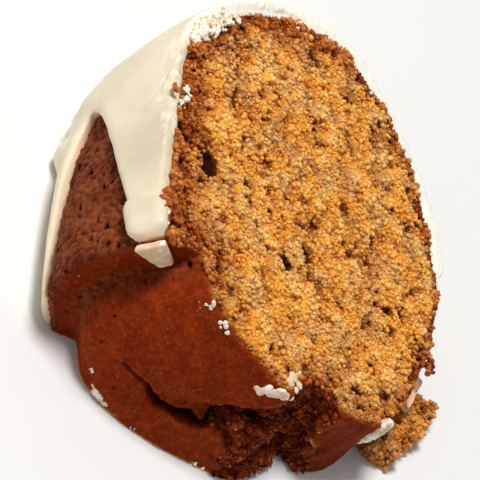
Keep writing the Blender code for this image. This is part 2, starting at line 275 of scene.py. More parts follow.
def soft_noise(points, size, seed):
    """Smooth noise, mostly from -0.7 to 0.7, with lumps of about the size."""
    place = points / size + 0.5 * seed
    cell = np.floor(place).astype(np.int64)
    share = place - cell
    share = share * share * (3 - 2 * share)
    total = np.zeros(len(points))
    for corner in itertools.product((0, 1), repeat=3):
        weight = np.where(corner, share, 1 - share).prod(axis=1)
        total += weight * cell_draws(cell + corner, seed, 1)[0]
    return 2 * total - 1


def rough_noise(points, size, seed, octaves=3):
    """Noise whose lumps carry smaller lumps."""
    return sum(soft_noise(points, size / 2**step, seed + step) / 2**step for step in range(octaves))


def packed_balls(points, size, seed, chance=1.0, least=0.45, most=0.85):
    """Balls scattered one to a cell of the size: how far inside the deepest one each point is, from 0 at its
    skin to 1 at the middle of a large one. chance is the share of the cells that hold a ball, and least and
    most are a ball's radius as shares of the size."""
    place = points / size
    cell = np.floor(place).astype(np.int64)
    depth = np.zeros(len(points))
    for offset in itertools.product((-1, 0, 1), repeat=3):
        near = cell + offset
        x, y, z, draw, own = cell_draws(near, seed, 5)
        radius = mix(least, most, draw)
        gap = ((place - near - np.stack((x, y, z), axis=1)) ** 2).sum(axis=1)
        inside = np.sqrt(np.maximum(radius**2 - gap, 0)) / most * (own <= chance)
        depth = np.maximum(inside, depth)
    return depth


def ring_measures(points):
    """Inward, height and below, in metres and radians, of points in space."""
    across, up = AXIS_X - points[:, 0], points[:, 2]
    inward = RING_RADIUS - np.hypot(across, up)
    return inward, points[:, 1] - LIP_Y, SLICE_ANGLE - np.arctan2(up, across)


def ring_place(inward, height, below):
    """The point in space of a ring measure."""
    radius, azimuth = RING_RADIUS - inward, SLICE_ANGLE - below
    return Vector((AXIS_X - radius * math.cos(azimuth), LIP_Y + height, radius * math.sin(azimuth)))


def above_cut(points):
    """How far points are above the plane of the upper cut face, in metres."""
    return (points - (AXIS_X, 0, 0)) @ UP_FACE


def distance_to_line(points, line, closed=False):
    """The distance of flat points to a line of flat points, and which side they are on."""
    ends = np.roll(line, -1, axis=0) if closed else line[1:]
    best, side = np.full(len(points), np.inf), np.zeros(len(points))
    for start, end in zip(line, ends):
        run = end - start
        off = points - start
        share = np.clip(off @ run / max(run @ run, 1e-18), 0, 1)
        gap = off - share[:, None] * run
        distance = np.hypot(gap[:, 0], gap[:, 1])
        nearer = distance < best
        side = np.where(nearer, np.sign(run[0] * off[:, 1] - run[1] * off[:, 0]), side)
        best = np.minimum(distance, best)
    return best, side


# Meshes ---------------------------------------------------


def coordinates(mesh):
    found = np.empty(len(mesh.vertices) * 3, np.float32)
    mesh.vertices.foreach_get("co", found)
    return found.reshape(-1, 3).astype(float)


def vertex_normals(mesh):
    found = np.empty(len(mesh.vertices) * 3, np.float32)
    mesh.vertex_normals.foreach_get("vector", found)
    return found.reshape(-1, 3).astype(float)


def set_coordinates(mesh, points):
    mesh.vertices.foreach_set("co", points.astype(np.float32).ravel())
    mesh.update()


def set_numbers(mesh, name, values):
    """A number for each vertex, which the materials read by its name."""
    made = mesh.attributes.get(name) or mesh.attributes.new(name, "FLOAT", "POINT")
    made.data.foreach_set("value", np.clip(values, 0, 1).astype(np.float32))


def smoothed(mesh, points, weight, turns):
    """The points, each drawn towards the middle of its neighbours by its weight, for some turns."""
    edges = np.empty(len(mesh.edges) * 2, np.int32)
    mesh.edges.foreach_get("vertices", edges)
    edges = edges.reshape(-1, 2)
    edges = edges[(weight[edges] > 0).any(axis=1)]
    used, own = np.unique(edges, return_inverse=True)
    first, second = own.reshape(-1, 2).T
    size = len(used)
    count = np.bincount(first, minlength=size) + np.bincount(second, minlength=size)
    places, pull = points[used], PULL_A_TURN * weight[used, None]
    for _ in range(turns):
        total = [
            np.bincount(first, places[second, axis], size) + np.bincount(second, places[first, axis], size)
            for axis in range(3)
        ]
        places = places + pull * (np.stack(total, axis=1) / count[:, None] - places)
    points = points.copy()
    points[used] = places
    return points


def mesh_from(shell, name):
    """A mesh with the shell's faces, and the shell is freed."""
    mesh = bpy.data.meshes.new(name)
    shell.to_mesh(mesh)
    shell.free()
    return mesh


def apply_modifiers(piece):
    """Makes what the piece's modifiers show its mesh."""
    graph = bpy.context.evaluated_depsgraph_get()
    applied = bpy.data.meshes.new_from_object(piece.evaluated_get(graph))
    piece.modifiers.clear()
    piece.data = applied


def new_piece(name, mesh, finish, slot, *stands_for):
    """A shown piece of the slice, with its material, fixed to the root and hiding the imported solids it
    stands for.
    """
    mesh.shade_smooth()
    piece = bpy.data.objects.new(name, mesh)
    bpy.context.scene.collection.objects.link(piece)
    mesh.materials.clear()
    mesh.materials.append(finish)
    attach(piece, "root")
    for node in stands_for:
        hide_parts(node)
    return piece


def even_copy(node, cell, rounding=0):
    """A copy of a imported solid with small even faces, its edges rounded by that many turns of smoothing."""
    shell = bmesh.new()
    shell.from_mesh(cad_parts[node].data)
    bmesh.ops.remove_doubles(shell, verts=shell.verts, dist=0.001 * MM)
    return remeshed(mesh_from(shell, node + "_fine"), cell, rounding)


def remeshed(mesh, cell, rounding):
    """The mesh's outer surface in small even faces, its edges rounded by that many turns of smoothing."""
    helper = bpy.data.objects.new(mesh.name, mesh)
    bpy.context.scene.collection.objects.link(helper)
    remesh = helper.modifiers.new("even_faces", "REMESH")
    remesh.mode = "VOXEL"
    remesh.voxel_size = cell
    remesh.use_smooth_shade = True
    if rounding:
        soft = helper.modifiers.new("round_edges", "SMOOTH")
        soft.factor = 0.5
        soft.iterations = rounding
    apply_modifiers(helper)
    made = helper.data
    bpy.data.objects.remove(helper)
    return made


def thin_out(piece, most_triangles):
    """Joins faces where the surface is flattest, down to the number of triangles."""
    piece.data.calc_loop_triangles()
    count = len(piece.data.loop_triangles)
    if count > most_triangles:
        fewer = piece.modifiers.new("fewer_faces", "DECIMATE")
        fewer.ratio = most_triangles / count
        apply_modifiers(piece)
    piece.data.shade_smooth()


# Materials ------------------------------------------------


class NodeBench:
    """A new material and short ways to wire it."""

    def __init__(self, name):
        self.made = bpy.data.materials.new(name)
        self.made.use_nodes = True
        self.tree = self.made.node_tree
        self.shader = self.tree.nodes["Principled BSDF"]

    def node(self, kind, **settings):
        added = self.tree.nodes.new(kind)
        for key, value in settings.items():
            setattr(added, key, value)
        return added

    def feed(self, value, target):
        """Gives an input a socket to follow, or a number or a colour to keep."""
        if isinstance(value, bpy.types.NodeSocket):
            self.tree.links.new(value, target)
        elif isinstance(value, float):
            target.default_value = value
        else:
            target.default_value = (*value, 1)

    def give(self, value, name):
        """Feeds the shader's input of that name."""
        self.feed(value, self.shader.inputs[name])

    def number(self, name):
        """A vertex number that the mesh carries."""
        return self.node("ShaderNodeAttribute", attribute_name=name).outputs["Fac"]

    def noise(self, size, detail=3.0, roughness=0.55):
        """Noise in space, from 0 to 1, with lumps of about the size in metres."""
        place = self.node("ShaderNodeTexCoord").outputs["Object"]
        made = self.node("ShaderNodeTexNoise")
        self.feed(place, made.inputs["Vector"])
        made.inputs["Scale"].default_value = 1 / size
        made.inputs["Detail"].default_value = detail
        made.inputs["Roughness"].default_value = roughness
        return made.outputs["Fac"]

    def ramp(self, source, *stops):
        """Colours along a number: each stop is its place and its linear colour."""
        made = self.node("ShaderNodeValToRGB")
        while len(made.color_ramp.elements) < len(stops):
            made.color_ramp.elements.new(1)
        for element, (place, colour) in zip(made.color_ramp.elements, stops):
            element.position = place
            element.color = (*colour, 1)
        self.feed(source, made.inputs["Fac"])
        return made.outputs["Color"]

    def stretched(self, source, low, high):
        """A number from 0 to 1 as the source goes from low to high."""
        made = self.node("ShaderNodeMapRange", interpolation_type="SMOOTHSTEP")
        self.feed(source, made.inputs["Value"])
        made.inputs["From Min"].default_value = low
        made.inputs["From Max"].default_value = high
        return made.outputs["Result"]

    def times(self, first, second, operation="MULTIPLY"):
        made = self.node("ShaderNodeMath", operation=operation)
        self.feed(first, made.inputs[0])
        self.feed(second, made.inputs[1])
        return made.outputs["Value"]

    def plus(self, first, second):
        return self.times(first, second, "ADD")

    def blend(self, share, first, second):
        """Two colours mixed by a share, which is a number or a socket."""
        made = self.node("ShaderNodeMix", data_type="RGBA")
        sockets = {socket.identifier: socket for socket in made.inputs}
        for key, value in (("Factor_Float", share), ("A_Color", first), ("B_Color", second)):
            self.feed(value, sockets[key])
        return next(socket for socket in made.outputs if socket.identifier == "Result_Color")

    def relief(self, height, depth):
        """Fine relief: the height from 0 to 1 stands for a depth in metres."""
        made = self.node("ShaderNodeBump")
        made.inputs["Distance"].default_value = depth
        made.inputs["Strength"].default_value = 1
        self.feed(height, made.inputs["Height"])
        return made.outputs["Normal"]

    def soften(self, weight, reach, tint):
        """Light that goes into the surface and comes out near by."""
        self.shader.inputs["Subsurface Weight"].default_value = weight
        self.shader.inputs["Subsurface Scale"].default_value = reach
        self.shader.inputs["Subsurface Radius"].default_value = tint


def crumb_colours(bench, cake):
    """The crumb's colour from how lit it is, which paints its light and shade, and from its browning: golden
    where it stands out, red-brown in the hollows, with fresher and duskier patches. The brown colours also
    paint shade on the torn crumb."""
    lit = bench.number("lit")
    patches = bench.noise(6 * MM, 3.0)
    fresh = bench.ramp(
        lit,
        (0.0, (0.085, 0.013, 0.0015)),
        (0.22, (0.36, 0.10, 0.012)),
        (0.45, tuple(cake.crumb_colour)),
        (0.75, (0.92, 0.42, 0.060)),
        (1.0, (0.95, 0.57, 0.17)),
    )
    dusky = bench.ramp(
        lit,
        (0.0, (0.08, 0.014, 0.002)),
        (0.25, (0.40, 0.135, 0.022)),
        (0.5, (0.63, 0.295, 0.078)),
        (1.0, (0.92, 0.55, 0.18)),
    )
    crumb = bench.blend(bench.stretched(patches, 0.46, 0.58), fresh, dusky)
    browned_and_shaded = bench.ramp(
        lit,
        (0.0, (0.045, 0.004, 0.0006)),
        (0.3, (0.18, 0.024, 0.0022)),
        (0.6, (0.40, 0.095, 0.012)),
        (1.0, (0.66, 0.25, 0.060)),
    )
    return bench.blend(bench.number("browned_and_shaded"), crumb, browned_and_shaded)


def grain_material(cake):
    """Single grains of crumb, moist enough to shine a little, and duller where they take the brown colours,
    which stand for browning and, on the torn crumb, for painted shade.
    """
    bench = NodeBench("crumb_grains")
    bench.give(crumb_colours(bench, cake), "Base Color")
    bench.give(bench.relief(bench.noise(0.3 * MM, 2.0), 0.03 * MM), "Normal")
    bench.give(0.22, "Roughness")
    shine = bench.blend(bench.number("browned_and_shaded"), (0.42, 0.42, 0.42), (0.12, 0.12, 0.12))
    bench.give(shine, "Specular IOR Level")
    bench.soften(0.35, 0.6 * MM, (1.0, 0.45, 0.15))
    return bench.made


def cake_material(cake):
    """Crumb where it is cut or torn, and the crust: rough on the outer wall, finely mottled on the base."""
    bench = NodeBench("cake_crumb")
    lit = bench.number("lit")
    grain = bench.noise(0.9 * MM, 2.0)
    crumb = crumb_colours(bench, cake)
    wall = bench.ramp(
        bench.plus(bench.times(lit, 0.7), bench.times(grain, 0.5)),
        (0.30, (0.022, 0.0035, 0.001)),
        (0.62, tuple(cake.wall_colour)),
        (0.95, (0.28, 0.072, 0.018)),
    )
    mottle = bench.plus(bench.times(bench.noise(1.1 * MM, 4.0, 0.75), 0.72), bench.times(lit, 0.28))
    base = bench.ramp(
        mottle,
        (0.3, (0.12, 0.010, 0.0010)),
        (0.52, tuple(cake.base_colour)),
        (0.72, (0.38, 0.060, 0.007)),
    )
    specks = bench.stretched(bench.noise(0.55 * MM, 1.0), 0.68, 0.76)
    base = bench.blend(bench.times(specks, 0.6), base, (0.48, 0.13, 0.018))
    crust = bench.blend(bench.number("outer"), base, wall)
    colour = bench.blend(bench.number("cut"), crust, crumb)
    # Painted shade: near black in the crack's gape, the torn hollows and the large pores, and a little darker
    # towards the hole.
    colour = bench.blend(bench.number("shade_and_darkening"), colour, (0.012, 0.001, 0.0003))
    bench.give(colour, "Base Color")
    bench.give(bench.relief(bench.noise(0.5 * MM, 3.0, 0.7), 0.2 * MM), "Normal")
    bench.give(0.7, "Roughness")
    shine = bench.blend(bench.number("outer"), (0.05, 0.05, 0.05), (0.10, 0.10, 0.10))
    bench.give(shine, "Specular IOR Level")
    bench.soften(0.45, 1.1 * MM, (1.0, 0.42, 0.12))
    return bench.made


def icing_material(name, icing):
    """Set icing: cream with a satin skin, peach where it is thin, greyer where shade is painted on it, and
    whiter where it is broken."""
    bench = NodeBench(name)
    drift = bench.noise(9 * MM, 3.0)
    colour = bench.blend(bench.stretched(drift, 0.35, 0.65), tuple(icing.shade_colour), tuple(icing.colour))
    colour = bench.blend(bench.number("thin"), colour, tuple(icing.thin_colour))
    # Painted shade: greyer on the middle of the near drip, on the low icing and on the outer side of the cut.
    colour = bench.blend(bench.number("painted_icing_shade"), colour, (0.60, 0.52, 0.38))
    colour = bench.blend(bench.number("broken"), colour, (0.97, 0.93, 0.82))
    bench.give(colour, "Base Color")
    fine = bench.relief(bench.noise(0.5 * MM, 3.0, 0.6), 0.025 * MM)
    bench.give(fine, "Normal")
    bench.give(0.42, "Roughness")
    bench.give(0.45, "Specular IOR Level")
    bench.soften(0.25, 1.5 * MM, (1.0, 0.8, 0.55))
    return bench.made


# The cake -------------------------------------------------


def cut_outline():
    """The upper cut face's outline in ring measures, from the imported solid."""
    on_face = _corners[np.abs(above_cut(_corners)) < FACE_REACH * MM]
    inward, height, _ = ring_measures(on_face)
    found = np.unique(np.round(np.stack((inward, height), axis=1), 6), axis=0)
    middle = np.array(FACE_MIDDLE) * MM
    turn = np.arctan2(found[:, 1] - middle[1], found[:, 0] - middle[0])
    return found[np.argsort(turn)]


def hollows(across, up, holes):
    """How far down given holes reach at flat points. Each hole: its place, half sizes and depth in mm."""
    depth = np.zeros(len(across))
    for x, y, half_x, half_y, most in holes:
        off = np.hypot((across - x * MM) / (half_x * MM), (up - y * MM) / (half_y * MM))
        depth = np.maximum(depth, most * MM * smooth_step(HOLE_RIM, HOLE_FLOOR, off))
    return depth


def crumb_relief(points, browned_and_shaded, cake):
    """How far the cut crumb stands out of its face, and how lit each point looks, from 0 to 1."""
    clumps = rough_noise(points, cake.clump_size, seed=11)
    grains = packed_balls(points, cake.grain_size, seed=5)
    lumps = packed_balls(points, 1.9 * cake.grain_size, seed=17, chance=0.6, least=0.4, most=0.75)
    holes = packed_balls(points, 4.2 * MM, seed=23, chance=0.42, least=0.10, most=0.32)
    rim_holes = packed_balls(points, 3.0 * MM, seed=29, chance=0.7, least=0.22, most=0.46)
    rim_holes = rim_holes * smooth_step(0.3, 0.7, browned_and_shaded)
    gaps = smooth_step(0.16, 0.5, -soft_noise(points, 1.7 * MM, seed=31))
    relief = 0.75 * clumps + 0.12 * grains + 0.20 * lumps - 2.0 * holes - 0.6 * gaps - 1.5 * rim_holes
    relief = relief * (1 + 0.45 * browned_and_shaded) - 0.35 * browned_and_shaded
    lit = 0.40 + 0.28 * clumps + 0.14 * grains + 0.20 * lumps
    lit = lit - 0.85 * holes - 0.30 * gaps - 0.75 * rim_holes
    return relief * MM, lit


def make_cake(cake):
    """The cake's surface with its crumb, crust, crack and torn dome, and the grains that stand on it."""
    mesh = even_copy("cake", cake.cell_size)
    points = coordinates(mesh)

    # Round the lip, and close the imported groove, which is cut again below.
    inward, height, _ = ring_measures(points)
    lip = step_mm(16, 12, inward) * step_mm(-12, -8, height)
    lip *= step_mm(7, 4, height)
    lip *= step_mm(-0.2, -1.2, above_cut(points)) * step_mm(0.2, 1.2, points[:, 2])
    points = smoothed(mesh, points, lip, LIP_ROUNDING)
    inward, height, below = ring_measures(points)
    degrees = np.degrees(below)
    split = step_mm(8.5, 11, inward) * step_mm(30.5, 28.5, inward)
    split *= smooth_step(7.5, 9, degrees) * smooth_step(15.8, 14.8, degrees) * (height < -3 * MM)
    points = smoothed(mesh, points, split, DOME_ROUNDING)
    set_coordinates(mesh, points)
    normals = vertex_normals(mesh)
    inward, height, below = ring_measures(points)
    degrees = np.degrees(below)

    # Which surface each point is on.
    warp = rough_noise(points, 4 * MM, seed=3)
    fray = rough_noise(points, 1.8 * MM, seed=37)
    upper_cut = smooth_step(0.35, 0.75, normals @ UP_FACE) * step_mm(-1.6, -0.5, above_cut(points))
    lower_cut = step_mm(0.4, 0.1, points[:, 2])
    flap = step_mm(72, 76, inward + 1.5 * MM * warp) * step_mm(45, 40, height)
    flap *= step_mm(6.5, 5, points[:, 2])
    outer = step_mm(30, 24, inward)
    outer *= step_mm(-9, 2.5, height - np.maximum(inward, 0) * 0.6 + 1.2 * MM * warp)
    outer *= smooth_step(0.1, 0.6, -normals[:, 0] + 0.4 * (inward < 2 * MM))
    facing_base = smooth_step(0.15, 0.5, -normals[:, 1])

    # The crack gapes below its upper lip, and the dome is torn from there to the hole.
    flat = np.stack((inward, below * DOME_RADIUS), axis=1)
    line = np.array([(place * MM, math.radians(turn) * DOME_RADIUS) for place, turn in CRACK_LINE])
    off_line, side = distance_to_line(flat + 0.6 * MM * np.stack((fray, -warp), axis=1), line)
    past_lip = -off_line * side
    gape_width = mix(0.8, 1, np.clip(fray, -1, 1)) * CRACK_GAPES * step_mm(8, 30, inward)
    in_crack = facing_base * step_mm(10, 12.5, inward) * step_mm(58, 48, inward)
    gape = step_mm(0, 0.3, past_lip)
    gape = gape * smooth_step(gape_width + 0.5 * MM, 0.4 * gape_width, past_lip) * in_crack
    torn_from = np.interp(degrees, TORN_ANGLES, TORN_FROM) * MM
    torn_to = np.interp(degrees, TORN_ANGLES, TORN_TO) * MM
    torn = smooth_step(torn_from - 0.5 * MM, torn_from + 1.2 * MM, inward + 1.4 * MM * fray)
    torn *= smooth_step(torn_to + 2 * MM, torn_to - 2 * MM, inward + 2 * MM * warp) * facing_base

    # The browned rim of the cut face: thick under the icing, thin along the risen base.
    to_rim, _ = distance_to_line(np.stack((inward, height), axis=1), cut_outline(), closed=True)
    iced = step_mm(-1.5, 1.5, height)
    whole_crust = step_mm(1.3, 0.3, to_rim + 0.5 * MM * fray) * (1 - iced) * (1 - torn)
    upper_cut *= 1 - whole_crust
    iced_rim = mix(5.6 * MM, 3.1 * MM, step_mm(45, 75, inward))
    iced_rim += 2.4 * MM * step_mm(62, 45, height) * step_mm(40, 20, inward)
    rim = mix(2.2 * MM, iced_rim, iced)
    rim = rim * (1 + 0.6 * warp + 0.25 * fray)
    browned_and_shaded = smooth_step(1.5 * rim, 0.35 * rim, to_rim)
    cut = np.maximum.reduce((upper_cut, lower_cut, flap))
    browned_and_shaded = np.where(flap > 0.5, 0.35 + 0.35 * warp, browned_and_shaded) * (lower_cut < 0.5)

    # Relief along the surface's own normals.
    crumb, lit_crumb = crumb_relief(points, browned_and_shaded, cake)
    pores = hollows(inward + 0.7 * MM * fray, height + 0.7 * MM * warp, LARGE_PORES) * upper_cut
    crumb -= pores
    lit_crumb -= 1.2 * step_mm(0.2, 1.2, pores)
    rubble = packed_balls(points, 2.6 * MM, seed=83, chance=0.8)
    crumbs = packed_balls(points, 1.1 * MM, seed=87, chance=0.9)
    ragged = step_mm(6.5, 4, inward + MM * warp)
    ragged *= step_mm(15.5, 13, height + 2 * MM * warp)
    ragged *= step_mm(-2, 0, height) * upper_cut
    crumb += ragged * (2.2 * rubble - 1.0 + 0.5 * crumbs) * MM
    lit_crumb += ragged * (0.5 * rubble - 0.3)
    wall_pits = packed_balls(points * (1, 0.55, 1), 1.5 * MM, seed=53, chance=0.5, least=0.15, most=0.42)
    wall_lumps = packed_balls(points, 1.0 * MM, seed=59)
    wall = 0.50 * wall_lumps + 0.34 * rough_noise(points, 2.5 * MM, seed=61, octaves=2)
    wall = (wall - 1.2 * wall_pits) * MM
    pits = [(math.radians(turn) * (RING_RADIUS / MM), *others) for turn, *others in WALL_PITS]
    wall -= hollows(below * RING_RADIUS, height, pits)
    lit_wall = 0.42 + 0.40 * wall_lumps + 0.25 * warp - 1.3 * wall_pits
    dimples = packed_balls(points, 2.4 * MM, seed=75, chance=0.3, least=0.06, most=0.16)
    dome = 0.28 * rough_noise(points, 9 * MM, seed=71, octaves=2)
    dome = dome + 0.13 * rough_noise(points, 1.6 * MM, seed=73, octaves=2) - 0.9 * dimples
    lit_dome = 0.5 + 0.25 * fray - 1.2 * dimples
    tear = 1.3 * rough_noise(points, 5 * MM, seed=79) + 0.5 * rubble + 0.6 * crumbs - 0.3 + 0.6 * fray
    off_lobe = np.hypot(inward - TORN_LOBE[0] * MM, (degrees - TORN_LOBE[1]) * 1.25 * MM)
    tear = (tear + LOBE_RISE * step_mm(5.5, 1.5, off_lobe)) * MM
    lit_torn = 0.12 + 0.20 * rubble + 0.28 * crumbs + 0.30 * fray

    # Each surface's own relief and light in its place, and nothing below the table.
    relief = mix(dome * MM, wall, outer)
    lit = mix(lit_dome, lit_wall, outer)
    relief = mix(relief, tear, torn)
    relief -= CRACK_DEPTH * gape
    lit = mix(lit, lit_torn, torn)
    relief = mix(relief, crumb, np.maximum(upper_cut, flap))
    lit = mix(lit, lit_crumb, np.maximum(upper_cut, flap))
    relief = relief * (1 - lower_cut)
    hidden = step_mm(2.0, 0, points[:, 2]) * (relief > 0) * (1 - torn)
    relief = relief * (1 - hidden)
    moved = np.maximum(points + normals * relief[:, None], LEAST_PLACE)
    set_coordinates(mesh, moved)

    # Painted shade in the crack's gape, the torn hollows and the large pores, darker towards the hole, how
    # golden it looks, and the grains on the open crumb.
    shade_and_darkening = np.maximum(0.95 * gape, 0.6 * torn * smooth_step(0.1, -0.3, lit_torn)) * (1 - upper_cut)
    by_hole = step_mm(54, 62, inward) * facing_base * (1 - cut)
    shade_and_darkening = np.maximum(shade_and_darkening, 0.28 * by_hole)
    golden = smooth_step(0.88, 1.08, soft_noise(points, 3.2 * MM, seed=89) + 0.5 * fray)
    # The torn dome's crumb away from its golden patches takes the brown colours as painted shade.
    browned_and_shaded = np.maximum(browned_and_shaded, torn * (1 - golden) * (1 - upper_cut))
    open_crumb = (np.maximum.reduce((upper_cut, flap, torn)) > 0.9) & (pores < 0.7 * MM)
    shade_and_darkening = np.maximum(shade_and_darkening, 0.8 * step_mm(0.5, 1.6, pores))
    only_torn = torn * (1 - np.maximum(upper_cut, flap))
    grain_lit = lit * mix(1, 0.6, only_torn * (1 - golden)) - 0.03 * only_torn
    grain_size = mix(1, 0.72, only_torn)
    host = {"point": moved, "normal": normals, "lit": grain_lit, "browned_and_shaded": browned_and_shaded, "size": grain_size}
    host = {key: values[open_crumb] for key, values in host.items()}
    for name, (spacing, share, seed) in GRAIN_LAYERS.items():
        make_grains(name, host, spacing * cake.grain_size, share, cake, seed)
    set_numbers(mesh, "lit", lit - 0.04 * open_crumb)
    set_numbers(mesh, "browned_and_shaded", browned_and_shaded)
    set_numbers(mesh, "outer", outer)
    set_numbers(mesh, "shade_and_darkening", shade_and_darkening)
    set_numbers(mesh, "cut", np.maximum(cut, torn * mix(0.35, 1, golden)))
    piece = new_piece("cake_crumb_and_crust", mesh, cake_material(cake), "cake_crumb", "cake")
    thin_out(piece, cake.most_triangles)


def make_grains(name, host, spacing, share, cake, seed):
    """Uneven grains of crumb, one to a cell of the spacing, each on a point of the host, joined in one
    piece. share is a grain's mean radius as a share of the spacing."""
    draws = np.random.default_rng(seed)
    order = draws.permutation(len(host["point"]))
    cells = np.floor(host["point"][order] / spacing + draws.random(3)).astype(np.int64)
    _, first = np.unique(cells, axis=0, return_index=True)
    chosen = order[first]
    chosen = chosen[host["lit"][chosen] > DARKEST_GRAIN]
    ball = bmesh.new()
    bmesh.ops.create_icosphere(ball, subdivisions=1, radius=1)
    corners = np.array([vertex.co for vertex in ball.verts])
    faces = np.array([[vertex.index for vertex in face.verts] for face in ball.faces])
    ball.free()
    chosen = chosen[draws.permutation(len(chosen))[: cake.most_triangles // len(faces)]]
    count = len(chosen)
    turns, _ = np.linalg.qr(draws.normal(size=(count, 3, 3)))
    squash = draws.uniform(0.75, 1.3, (count, 1, 3))
    radius = spacing * share * draws.uniform(0.75, 1.25, (count, 1, 1)) * host["size"][chosen, None, None]
    dents = draws.uniform(0.66, 1.22, (count, len(corners), 1))
    shaped = np.einsum("nvk,nkj->nvj", corners[None] * squash * dents, turns) * radius
    lift = draws.uniform(-0.4, 0.5, (count, 1)) * radius[:, 0]
    middles = host["point"][chosen] + host["normal"][chosen] * lift
    points = np.maximum((middles[:, None, :] + shaped).reshape(-1, 3), LEAST_PLACE)
    joined = (faces[None] + len(corners) * np.arange(count)[:, None, None]).reshape(-1, 3)
    mesh = bpy.data.meshes.new(name)
    mesh.from_pydata(points.tolist(), [], joined.tolist())
    own = host["lit"][chosen] + draws.normal(0.07, 0.09, count) + 0.36 * lift[:, 0] / radius[:, 0, 0]
    set_numbers(mesh, "lit", np.repeat(own, len(corners)))
    set_numbers(mesh, "browned_and_shaded", np.repeat(host["browned_and_shaded"][chosen], len(corners)))
    new_piece(name, mesh, grain_material(cake), "cake_crumb")


# The icing ------------------------------------------------


def cake_tree():
    """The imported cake's surface, to find the nearest crust."""
    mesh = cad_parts["cake"].data
    corners = [vertex.co for vertex in mesh.vertices]
    return BVHTree.FromPolygons(corners, [face.vertices for face in mesh.polygons])


def make_icing(icing):
    """The coat with its drips: waves, swells and creases, thin where it starves and crumbled at the cut."""
    mesh = even_copy("glaze", icing.cell_size, ICING_ROUNDING)
    points, normals = coordinates(mesh), vertex_normals(mesh)
    crust = cake_tree()
    gaps = np.empty(len(points))
    outward = np.empty((len(points), 3))
    for index, point in enumerate(points):
        _, facing, _, gap = crust.find_nearest(Vector(point))
        gaps[index] = gap
        outward[index] = facing
    above_face = above_cut(points)
    on_cut = smooth_step(0.3, 0.7, normals @ UP_FACE) * step_mm(-1.4, -0.3, above_face)
    on_table = step_mm(0.5, 0.1, points[:, 2])
    facing_out = smooth_step(-0.2, 0.3, (normals * outward).sum(axis=1))
    inward, height, below = ring_measures(points)
    degrees = np.degrees(below)
    waves = 0.34 * rough_noise(points, 13 * MM, seed=7, octaves=2)
    waves = waves + 0.06 * rough_noise(points, 3 * MM, seed=9, octaves=2)
    near_cut = step_mm(-6, -0.5, above_face) * step_mm(24, 34, height)
    near_cut *= step_mm(60, 50, height)
    crumble = rough_noise(points, 1.3 * MM, seed=15)
    relief = waves * facing_out + 0.22 * near_cut * crumble * facing_out + 0.12 * on_cut * crumble
    crown = 0.7 * step_mm(54, 57.5, height + 2 * MM * waves)
    relief += crown * step_mm(40, 20, inward) * facing_out
    on_wall = step_mm(8, 2, inward) * facing_out
    for turn, high, radius, flat_share, rise in ICING_SWELLS:
        off = np.hypot((degrees - turn) * WALL_DEGREE * MM, height - high * MM)
        relief += rise * smooth_step(radius * MM, flat_share * radius * MM, off) * on_wall
    folds = np.zeros(len(points))
    flat = np.stack((degrees * WALL_DEGREE * MM, height), axis=1)
    for crease in ICING_CREASES:
        line = np.array([(turn * WALL_DEGREE * MM, high * MM) for turn, high in crease])
        off, side = distance_to_line(flat, line)
        folds = np.maximum(folds, step_mm(0.45, 0.1, off) * on_wall)
        relief += 0.35 * step_mm(2.2, 0.2, off) * (side > 0) * on_wall
    relief = (relief - 0.25 * folds) * MM
    starved = step_mm(68, 74, inward) * step_mm(58, 49, height) * (1 - on_table)
    inner = step_mm(0.7, 0.45, gaps) * (1 - facing_out)
    moved = points + normals * (relief * (1 - on_table))[:, None]
    moved -= outward * (0.7 * MM * inner * (1 - on_table) + 0.8 * gaps * starved * facing_out)[:, None]
    set_coordinates(mesh, np.maximum(moved, LEAST_PLACE))
    bright = np.maximum(step_mm(25, 60, inward), step_mm(48, 60, height))
    thin = step_mm(1.9, 0.7, gaps) * (1 - on_cut) * 0.8
    set_numbers(mesh, "thin", np.maximum(thin, starved))
    set_numbers(mesh, "broken", np.maximum(on_cut * bright, 0.6 * near_cut * (crumble > 0.35)))
    # Painted shade: a greyer patch in the middle of the near drip, the low icing a little greyer, and the
    # cut's outer side.
    off_mid = np.hypot((degrees - 1.8) * WALL_DEGREE * MM, (height - 25 * MM) * 0.7)
    drip_shade = 0.72 * step_mm(11, 2, off_mid) * on_wall + 0.12 * step_mm(14, 9, height)
    set_numbers(mesh, "painted_icing_shade", np.maximum(0.4 * on_cut * (1 - bright), drip_shade))
    piece = new_piece("glaze_coat", mesh, icing_material("icing", icing), "icing", "glaze")
    thin_out(piece, icing.most_triangles)


def on_crust(crust, inward, height, below):
    """The crust's point and outward direction at a ring measure in mm and degrees: the one seen from under
    the dome, or, where a height is given, the nearest."""
    if height is None:
        start = ring_place(inward * MM, -60 * MM, math.radians(below))
        place, facing, _, _ = crust.ray_cast(start, Vector((0, 1, 0)))
        if place is not None:
            return place, facing
    near = ring_place(inward * MM, (height or 0) * MM, math.radians(below))
    place, facing, _, _ = crust.find_nearest(near)
    return place, facing


def add_blob(shell, place, facing, radius, flatness, spin):
    """An oval ball lying flat on the crust, turned by the spin in radians."""
    turn = facing.to_track_quat("Z", "Y").to_matrix().to_4x4()
    squash = Matrix.Diagonal((radius, 0.85 * radius, flatness * radius, 1))
    matrix = Matrix.Translation(place) @ turn @ Matrix.Rotation(spin, 4, "Z") @ squash
    bmesh.ops.create_icosphere(shell, subdivisions=3, radius=1, matrix=matrix)


def merged_blobs(name, blobs, flatness):
    """One lump of icing from blobs that lie on the crust."""
    crust = cake_tree()
    shell = bmesh.new()
    for index, (inward, height, below, radius) in enumerate(blobs):
        place, facing = on_crust(crust, inward, height, below)
        add_blob(shell, place, facing, radius * MM, flatness, 1.3 * index)
    return remeshed(mesh_from(shell, name), LUMP_CELL, BITS_ROUNDING)


